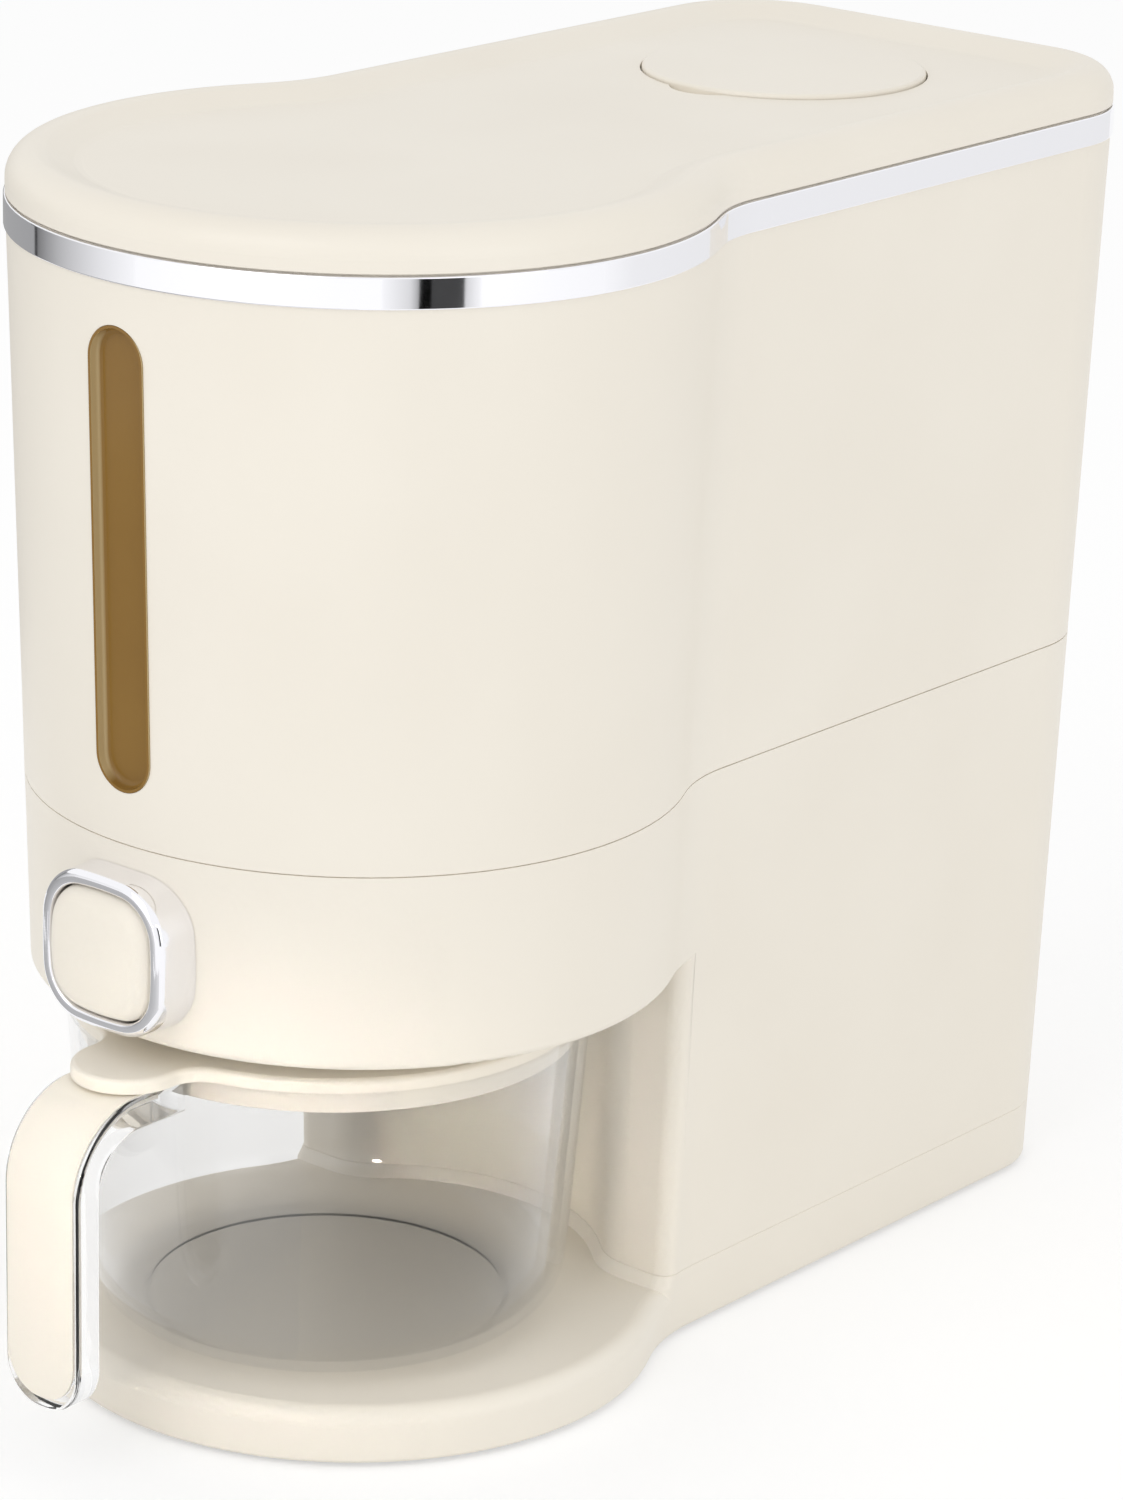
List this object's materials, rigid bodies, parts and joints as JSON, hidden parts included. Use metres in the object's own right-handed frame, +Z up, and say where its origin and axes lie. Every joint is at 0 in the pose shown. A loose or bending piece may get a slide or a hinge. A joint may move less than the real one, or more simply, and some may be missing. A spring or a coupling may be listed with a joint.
{
  "type": "rice dispenser",
  "caption": "Countertop rice dispenser with a lift-off lid, sloped hopper, level window, push button that swings a gate, and a clear measuring cup with a hook handle under the head.",
  "frame": {"origin": "centre of the overall footprint, on the surface the feet stand on", "axes": "+Z up, -Y towards the cup handle and the button, +X to the right seen from the rear"},
  "size_m": [0.2002, 0.3994, 0.3585],
  "materials": {
    "cream_plastic": "satin moulded plastic",
    "white_plastic": "satin moulded plastic",
    "acetal": "moulded acetal",
    "chrome_trim": "bright plated",
    "silicone_rubber": "matte",
    "steel": "plain steel",
    "amber_window": "tinted translucent plastic",
    "clear_plastic": "clear moulded plastic"
  },
  "bodies": {
    "housing": {"base_tray": "cream_plastic", "rubber_feet": "silicone_rubber", "base_screws": "steel", "lower_housing": "cream_plastic", "upper_housing": "cream_plastic", "trim_band": "chrome_trim", "window_lens": "amber_window", "hopper_floor": "white_plastic", "outlet_chute": "white_plastic", "chute_screws": "steel", "floor_screws": "steel", "gate_pivot_pins": "steel", "button_bezel": "chrome_trim", "return_spring": "steel"},
    "lid": {"lid_cover": "cream_plastic", "lid_liner": "white_plastic", "lid_seal": "silicone_rubber", "liner_screws": "steel", "desiccant_basket": "white_plastic"},
    "desiccant_lid": {"desiccant_cap": "cream_plastic", "cap_seal": "silicone_rubber"},
    "button": {"push_button": "cream_plastic", "plunger_yoke": "acetal"},
    "gate": {"radial_gate": "acetal"},
    "cup": {"measuring_cup": "clear_plastic", "handle_cover": "cream_plastic", "cup_lid": "cream_plastic"}
  },
  "joints": [
    {"name": "lid_lift", "type": "slide", "parent": "housing", "child": "lid", "axis": [0, 0, 1], "range_m": [0, 0.15]},
    {"name": "cap_lift", "type": "slide", "parent": "lid", "child": "desiccant_lid", "axis": [0, 0, 1], "range_m": [0, 0.05]},
    {"name": "button_press", "type": "slide", "parent": "housing", "child": "button", "axis": [0, 1, 0], "range_m": [0, 0.01014], "stiffness_N_per_m": 400, "springref_m": -0.006, "deforming": ["return_spring"]},
    {"name": "gate_swing", "type": "hinge", "parent": "housing", "child": "gate", "pos_m": [0, -0.079, 0.1515], "axis": [1, 0, 0], "range_deg": [0, 50]},
    {"name": "cup_pull", "type": "slide", "parent": "housing", "child": "cup", "axis": [0, -1, 0], "range_m": [0, 0.18]}
  ],
  "couplings": [
    {"joint": "gate_swing", "follows": "button_press", "rad_per_m": 86.038}
  ]
}
